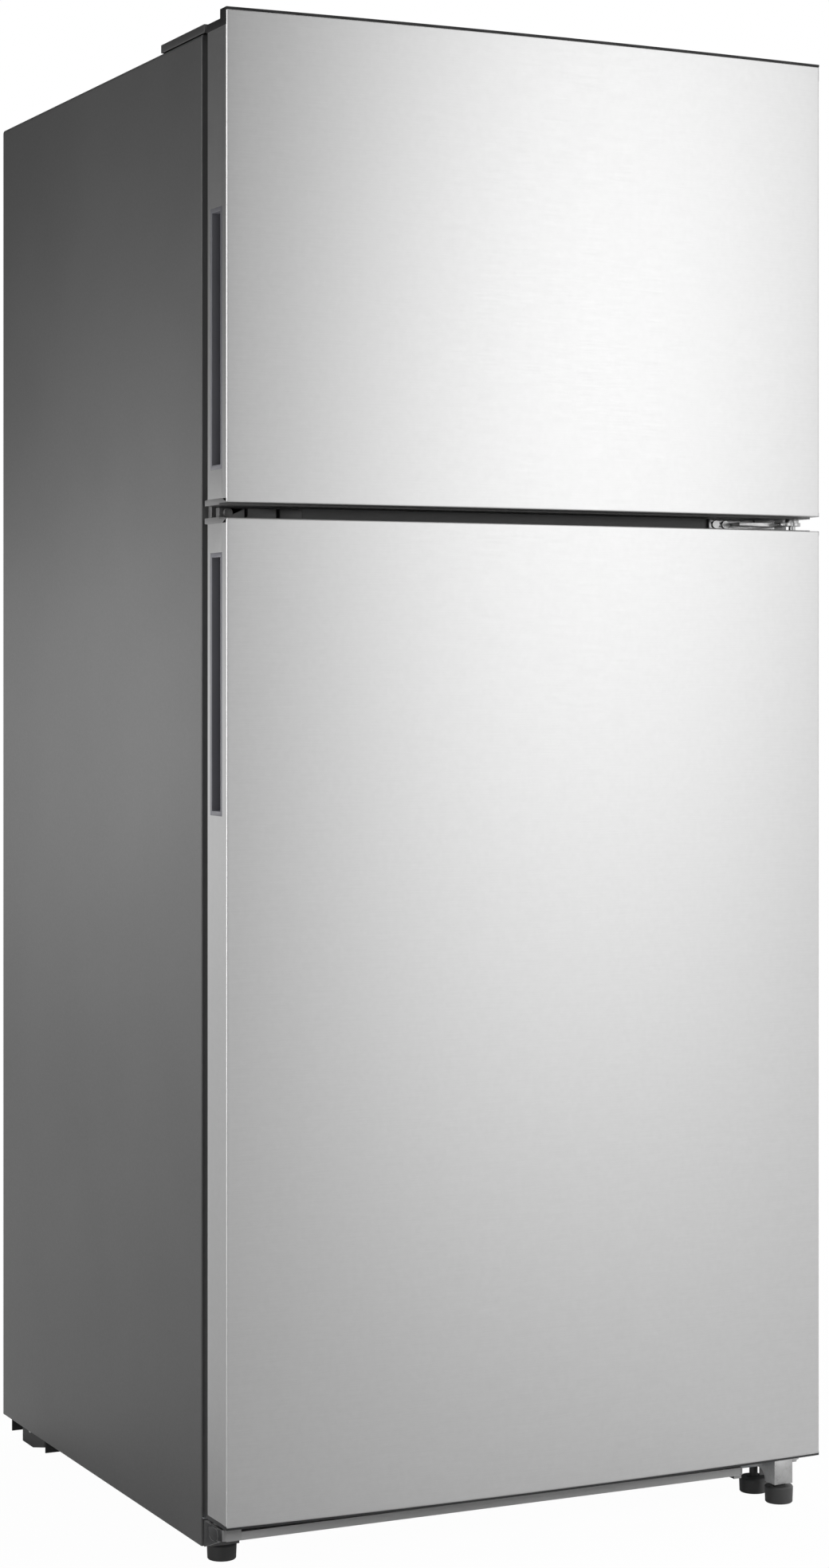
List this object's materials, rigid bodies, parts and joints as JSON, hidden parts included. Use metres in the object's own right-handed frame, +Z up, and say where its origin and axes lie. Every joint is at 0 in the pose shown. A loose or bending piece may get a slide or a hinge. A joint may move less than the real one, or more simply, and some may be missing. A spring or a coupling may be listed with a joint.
{
  "type": "top freezer refrigerator",
  "caption": "Free-standing refrigerator with a freezer above, two bowed steel doors hinged on the right and finger pockets in their left edges.",
  "frame": {"origin": "middle of the bounding box's bottom, on the floor", "axes": "+Z up, -Y towards the doors' front, +X towards the hinge side"},
  "size_m": [0.752, 0.763, 1.6888],
  "materials": {
    "painted_steel": "satin",
    "back_steel": "satin",
    "zinc_steel": "satin",
    "stainless_steel": "satin",
    "black_steel": "satin",
    "foam": "matte",
    "white_liner": "gloss",
    "white_plastic": "satin",
    "clear_plastic": "gloss",
    "glass": "gloss",
    "grey_plastic": "satin",
    "black_plastic": "matte",
    "gasket_rubber": "matte",
    "aluminium": "satin"
  },
  "bodies": {
    "cabinet": {"outer_cabinet": "painted_steel", "rear_panel": "back_steel", "foam_insulation": "foam", "freezer_liner": "white_liner", "fridge_liner": "white_liner", "center_mullion": "painted_steel", "bottom_deck": "zinc_steel", "base_pan": "black_steel", "front_rail": "painted_steel", "rail_end_cap": "grey_plastic", "top_covers": "grey_plastic", "mullion_covers": "grey_plastic", "top_hinge": "zinc_steel", "center_hinge": "zinc_steel", "lower_hinge": "zinc_steel", "hinge_screws": "zinc_steel", "roller_axles": "zinc_steel", "compressor": "black_steel", "compressor_grommets": "gasket_rubber", "condenser_coil": "black_steel", "condenser_fan_motor": "black_steel", "drain_pan": "white_plastic", "rear_access_cover": "black_plastic", "evaporator_coil": "aluminium", "evaporator_cover": "white_plastic", "evaporator_fan_motor": "grey_plastic", "freezer_shelf": "white_plastic", "shelf_frames": "white_plastic", "shelf_glass": "glass", "crisper_cover": "white_plastic", "control_housing": "white_plastic", "air_duct": "white_plastic"},
    "freezer_door": {"freezer_door_skin": "stainless_steel", "freezer_door_foam": "foam", "freezer_door_panel": "white_liner", "freezer_door_caps": "grey_plastic", "freezer_door_gasket": "gasket_rubber", "freezer_door_handle": "grey_plastic", "freezer_door_bins": "clear_plastic"},
    "fridge_door": {"fridge_door_skin": "stainless_steel", "fridge_door_foam": "foam", "fridge_door_panel": "white_liner", "fridge_door_caps": "grey_plastic", "fridge_door_gasket": "gasket_rubber", "fridge_door_handle": "grey_plastic", "fridge_door_bins": "clear_plastic"},
    "dairy_lid": {"dairy_lid": "clear_plastic"},
    "left_crisper": {"left_crisper": "clear_plastic"},
    "right_crisper": {"right_crisper": "clear_plastic"},
    "humidity_slider": {"humidity_slider": "grey_plastic"},
    "freezer_knob": {"freezer_knob": "grey_plastic"},
    "fridge_knob": {"fridge_knob": "grey_plastic"},
    "evaporator_fan": {"evaporator_fan": "white_plastic"},
    "condenser_fan": {"condenser_fan": "black_plastic"},
    "left_roller": {"left_roller": "black_plastic"},
    "right_roller": {"right_roller": "black_plastic"},
    "left_foot": {"left_foot": "black_plastic"},
    "right_foot": {"right_foot": "black_plastic"},
    "hinge_foot": {"hinge_foot": "black_plastic"},
    "light_switch": {"light_switch": "white_plastic"}
  },
  "joints": [
    {"name": "freezer_door_hinge", "type": "hinge", "parent": "cabinet", "child": "freezer_door", "pos_m": [0.356, -0.3425, 1.1489], "axis": [0, 0, 1], "range_deg": [0, 120]},
    {"name": "fridge_door_hinge", "type": "hinge", "parent": "cabinet", "child": "fridge_door", "pos_m": [0.356, -0.3425, 1.1489], "axis": [0, 0, 1], "range_deg": [0, 120]},
    {"name": "dairy_lid_hinge", "type": "hinge", "parent": "fridge_door", "child": "dairy_lid", "pos_m": [-0.15, -0.3105, 0.9415], "axis": [1, 0, 0], "range_deg": [0, 80]},
    {"name": "left_crisper_slide", "type": "slide", "parent": "cabinet", "child": "left_crisper", "axis": [0, -1, 0], "range_m": [0, 0.231]},
    {"name": "right_crisper_slide", "type": "slide", "parent": "cabinet", "child": "right_crisper", "axis": [0, -1, 0], "range_m": [0, 0.231]},
    {"name": "light_switch_slide", "type": "slide", "parent": "cabinet", "child": "light_switch", "axis": [0, -1, 0], "range_m": [0, 0.0066]},
    {"name": "humidity_slider_slide", "type": "slide", "parent": "cabinet", "child": "humidity_slider", "axis": [1, 0, 0], "range_m": [0, 0.052]},
    {"name": "freezer_knob_turn", "type": "hinge", "parent": "cabinet", "child": "freezer_knob", "pos_m": [-0.08, -0.176, 1.0879], "axis": [0, -1, 0], "range_deg": [0, 270]},
    {"name": "fridge_knob_turn", "type": "hinge", "parent": "cabinet", "child": "fridge_knob", "pos_m": [0.08, -0.176, 1.0879], "axis": [0, -1, 0], "range_deg": [0, 270]},
    {"name": "evaporator_fan_spin", "type": "hinge", "parent": "cabinet", "child": "evaporator_fan", "pos_m": [0, 0.2555, 1.4689], "axis": [0, 1, 0], "continuous": true},
    {"name": "condenser_fan_spin", "type": "hinge", "parent": "cabinet", "child": "condenser_fan", "pos_m": [-0.106, 0.2865, 0.1485], "axis": [1, 0, 0], "continuous": true},
    {"name": "left_roller_spin", "type": "hinge", "parent": "cabinet", "child": "left_roller", "pos_m": [-0.365, 0.2825, 0.0245], "axis": [1, 0, 0], "continuous": true},
    {"name": "right_roller_spin", "type": "hinge", "parent": "cabinet", "child": "right_roller", "pos_m": [0.365, 0.2825, 0.0245], "axis": [1, 0, 0], "continuous": true},
    {"name": "left_foot_screw", "type": "slide", "parent": "cabinet", "child": "left_foot", "axis": [0, 0, -1], "range_m": [0, 0.012]},
    {"name": "right_foot_screw", "type": "slide", "parent": "cabinet", "child": "right_foot", "axis": [0, 0, -1], "range_m": [0, 0.012]},
    {"name": "hinge_foot_screw", "type": "slide", "parent": "cabinet", "child": "hinge_foot", "axis": [0, 0, -1], "range_m": [0, 0.012]}
  ],
  "couplings": [
    {"joint": "left_crisper_slide", "follows": "fridge_door_hinge", "m_per_rad": 0.11},
    {"joint": "right_crisper_slide", "follows": "fridge_door_hinge", "m_per_rad": 0.11},
    {"joint": "light_switch_slide", "follows": "fridge_door_hinge", "m_per_rad": 0.003}
  ]
}
